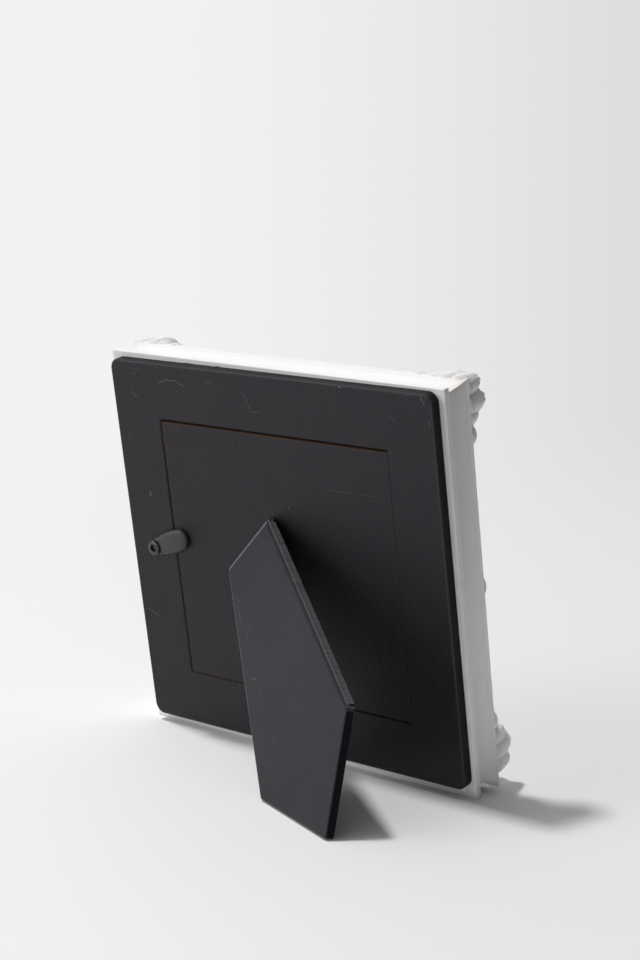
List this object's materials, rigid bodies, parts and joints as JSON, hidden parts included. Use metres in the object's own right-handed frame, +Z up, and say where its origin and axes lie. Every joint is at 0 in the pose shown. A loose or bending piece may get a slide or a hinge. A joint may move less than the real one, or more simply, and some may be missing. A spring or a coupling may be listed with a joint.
{
  "type": "picture frame",
  "caption": "Tabletop picture frame: white mitred rails with raised ornaments, a black covered back with a swing-out door held by a turn button, and a folding easel strut.",
  "frame": {"origin": "middle of the standing part's footprint box, on the surface that it stands on", "axes": "+Z up, the picture faces -Y and leans back, the strut is on the +Y side, +X along the width (to the right as seen from the front)"},
  "size_m": [0.1588, 0.0903, 0.1521],
  "materials": {
    "painted_rails": "matt white paint over wood",
    "cast_ornaments": "cast composition painted matt white with the rails",
    "steel": "plain bright steel",
    "glass": "clear float glass",
    "print_card": null,
    "filler_card": "raw grey-brown card",
    "fibreboard": "raw sawn fibreboard",
    "cover_paper": "black embossed covering paper with a low sheen",
    "lining_paper": "plain grey lining paper",
    "eyelet_metal": "darkened rolled eyelet",
    "black_steel": "black enamelled pressed steel",
    "black_plastic": "moulded black plastic, slightly glossy"
  },
  "bodies": {
    "frame": {"rail_top": "painted_rails", "rail_bottom": "painted_rails", "rail_left": "painted_rails", "rail_right": "painted_rails", "corner_nails": "steel", "corner_ornament_top_left": "cast_ornaments", "corner_ornament_top_right": "cast_ornaments", "corner_ornament_bottom_left": "cast_ornaments", "corner_ornament_bottom_right": "cast_ornaments", "side_ornament_top": "cast_ornaments", "side_ornament_bottom": "cast_ornaments", "side_ornament_left": "cast_ornaments", "side_ornament_right": "cast_ornaments", "glass_pane": "glass", "picture_card": "print_card", "filler_card": "filler_card", "back_board": "fibreboard", "back_cover": "cover_paper", "back_lining": "lining_paper", "button_eyelet": "eyelet_metal", "eyelet_washer": "steel"},
    "door": {"door_panel": "fibreboard", "door_cover": "cover_paper", "door_lining": "lining_paper", "hinge_fixed_leaf": "black_steel", "hinge_pin": "steel", "door_rivets": "steel"},
    "strut": {"strut_board": "fibreboard", "strut_cover": "cover_paper", "strut_lining": "cover_paper", "hinge_moving_leaf": "black_steel", "strut_rivets": "steel"},
    "turn_button": {"turn_button": "black_plastic"}
  },
  "joints": [
    {"name": "door_swing", "type": "hinge", "parent": "frame", "child": "door", "pos_m": [-0.05505, -0.00511, 0.07397], "axis": [0.007, 0.1478, 0.989], "range_deg": [0, 27]},
    {"name": "strut_fold", "type": "hinge", "parent": "door", "child": "strut", "pos_m": [0.01037, -0.00226, 0.08289], "axis": [-0.7022, 0.1052, 0.7042], "range_deg": [0, 21.9]},
    {"name": "button_turn", "type": "hinge", "parent": "frame", "child": "turn_button", "pos_m": [0.06215, -0.00518, 0.07345], "axis": [0, 0.989, -0.1478], "continuous": true}
  ]
}
